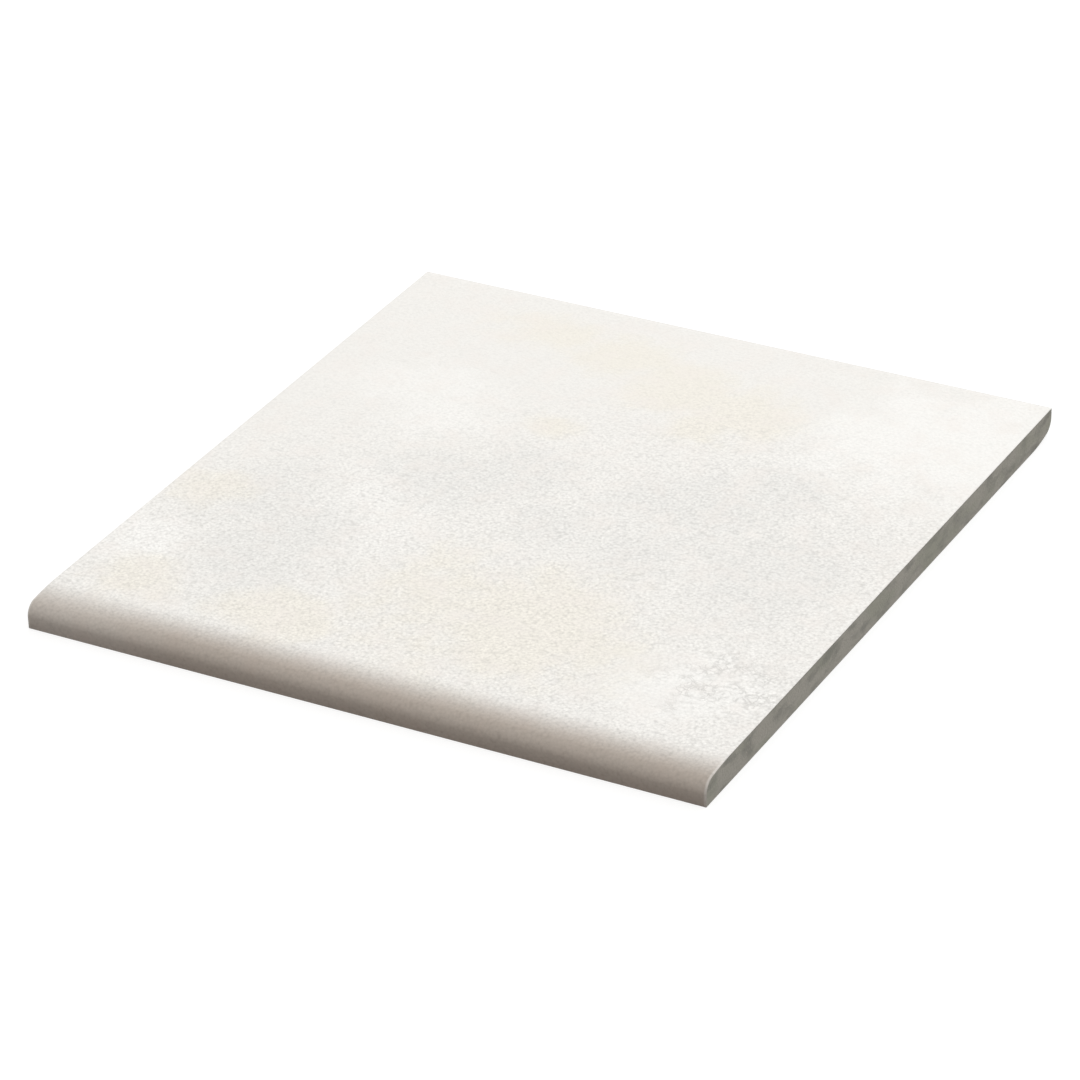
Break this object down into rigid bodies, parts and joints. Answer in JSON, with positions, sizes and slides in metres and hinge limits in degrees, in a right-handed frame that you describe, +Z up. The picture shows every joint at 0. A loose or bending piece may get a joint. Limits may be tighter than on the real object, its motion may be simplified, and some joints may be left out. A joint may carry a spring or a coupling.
{
  "type": "bullnose tile",
  "caption": "Porcelain tile with one long top edge rounded to a nose and its back lower edge rounded, for stair treads, sills and edgings.",
  "frame": {"origin": "middle of the tile's underside", "axes": "+X along the nose, +Y from the nose to the heel, +Z up out of the tread face; the nose is on the -Y side"},
  "size_m": [0.3, 0.32, 0.012],
  "materials": {
    "porcelain": "satin"
  },
  "bodies": {
    "root": {"bullnose_tile": "porcelain"}
  },
  "joints": []
}
